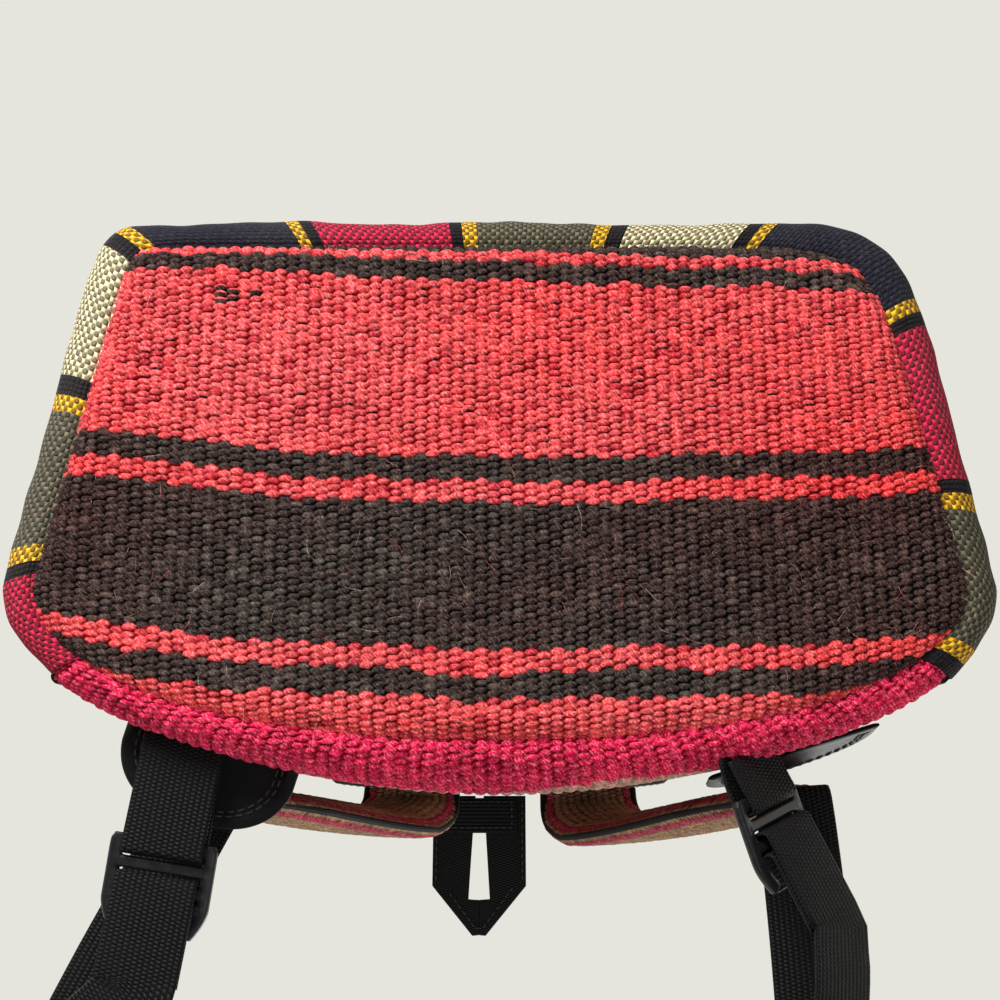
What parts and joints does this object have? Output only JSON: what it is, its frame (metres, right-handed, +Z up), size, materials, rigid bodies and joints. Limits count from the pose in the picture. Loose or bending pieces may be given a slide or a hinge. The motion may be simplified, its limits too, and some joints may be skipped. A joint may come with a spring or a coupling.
{
  "type": "hiking backpack",
  "caption": "Upright hiking backpack of striped woven wool with a zip-round lid, padded shoulder straps, black plastic strap adjusters, corner tabs and a webbing grab handle.",
  "frame": {"origin": "middle of the underside of the base panel, on the surface the bag stands on", "axes": "+Z up along the bag's height, +Y towards the wearer's back and the shoulder straps, +X to the wearer's right"},
  "size_m": [0.3976, 0.3718, 0.4536],
  "materials": {
    "coral_rug": "thick hand-woven wool, coral with dark brown stripes",
    "magenta_rug": "thick hand-woven wool, magenta at the bottom, dusty beige above",
    "beige_rug": "thick hand-woven wool, beige with a pink stripe",
    "striped_cloth": "plain-woven cloth with upright crimson, olive, tan and navy stripes",
    "black_webbing": "ribbed black webbing",
    "black_binding": "black edging",
    "black_tab": "smooth black cloth",
    "lining_cloth": "thin dark cloth",
    "stiff_board": "plain stiff board",
    "grey_foam": "soft closed-cell foam",
    "zip_tape": "woven black tape",
    "zip_coil": "black coil",
    "zip_metal": "dull nickel",
    "black_plastic": "smooth moulded black plastic"
  },
  "bodies": {
    "bag": {"back_binding": "black_binding", "back_foam": "grey_foam", "back_panel": "magenta_rug", "base_board": "stiff_board", "base_panel": "coral_rug", "body_zip_coil": "zip_coil", "body_zip_tape": "zip_tape", "left_anchor_webbing": "black_webbing", "right_anchor_webbing": "black_webbing", "left_strap_webbing": "black_webbing", "right_strap_webbing": "black_webbing", "left_wing_tab": "black_tab", "right_wing_tab": "black_tab", "left_zip_stop": "zip_metal", "right_zip_stop": "zip_metal", "lining": "lining_cloth", "strap_yoke": "black_tab", "wrap_panel": "striped_cloth"},
    "lid": {"lid_panel": "beige_rug", "lid_zip_coil": "zip_coil", "lid_zip_tape": "zip_tape"},
    "handle": {"grab_handle": "black_webbing"},
    "left_slider": {"left_zip_slider": "zip_metal"},
    "left_pull": {"left_zip_pull": "zip_metal"},
    "left_strap": {"left_shoulder_pad": "beige_rug"},
    "left_lock": {"left_ladder_lock": "black_plastic"},
    "right_slider": {"right_zip_slider": "zip_metal"},
    "right_pull": {"right_zip_pull": "zip_metal"},
    "right_strap": {"right_shoulder_pad": "beige_rug"},
    "right_lock": {"right_ladder_lock": "black_plastic"}
  },
  "joints": [
    {"name": "lid_hinge", "type": "hinge", "parent": "bag", "child": "lid", "pos_m": [0, 0.0735, 0.4231], "axis": [-1, 0, 0], "range_deg": [0, 110]},
    {"name": "left_slider_travel", "type": "slide", "parent": "bag", "child": "left_slider", "axis": [-1, 0, 0], "range_m": [0, 0.07]},
    {"name": "left_pull_swing", "type": "hinge", "parent": "left_slider", "child": "left_pull", "pos_m": [-0.012, -0.1059, 0.4118], "axis": [-1, 0, 0], "range_deg": [0, 120]},
    {"name": "left_strap_lift", "type": "hinge", "parent": "bag", "child": "left_strap", "pos_m": [-0.05, 0.08125, 0.3318], "axis": [1, 0, 0], "range_deg": [0, 45], "deforming": ["left_strap_webbing"]},
    {"name": "left_lock_tilt", "type": "hinge", "parent": "bag", "child": "left_lock", "pos_m": [-0.12594, 0.12704, 0.0271], "axis": [0.9877, 0.1564, 0], "range_deg": [0, 30], "deforming": ["left_strap_webbing"]},
    {"name": "right_slider_travel", "type": "slide", "parent": "bag", "child": "right_slider", "axis": [1, 0, 0], "range_m": [0, 0.07]},
    {"name": "right_pull_swing", "type": "hinge", "parent": "right_slider", "child": "right_pull", "pos_m": [0.012, -0.1059, 0.4118], "axis": [-1, 0, 0], "range_deg": [0, 120]},
    {"name": "right_strap_lift", "type": "hinge", "parent": "bag", "child": "right_strap", "pos_m": [0.05, 0.08125, 0.3318], "axis": [1, 0, 0], "range_deg": [0, 45], "deforming": ["right_strap_webbing"]},
    {"name": "right_lock_tilt", "type": "hinge", "parent": "bag", "child": "right_lock", "pos_m": [0.09899, 0.10904, 0.02089], "axis": [0.6355, -0.31, 0.7071], "range_deg": [0, 30], "deforming": ["right_strap_webbing"]},
    {"name": "handle_swing", "type": "hinge", "parent": "bag", "child": "handle", "pos_m": [-0.012, 0.08292, 0.36424], "axis": [1, 0, 0], "range_deg": [-60, 45]}
  ]
}
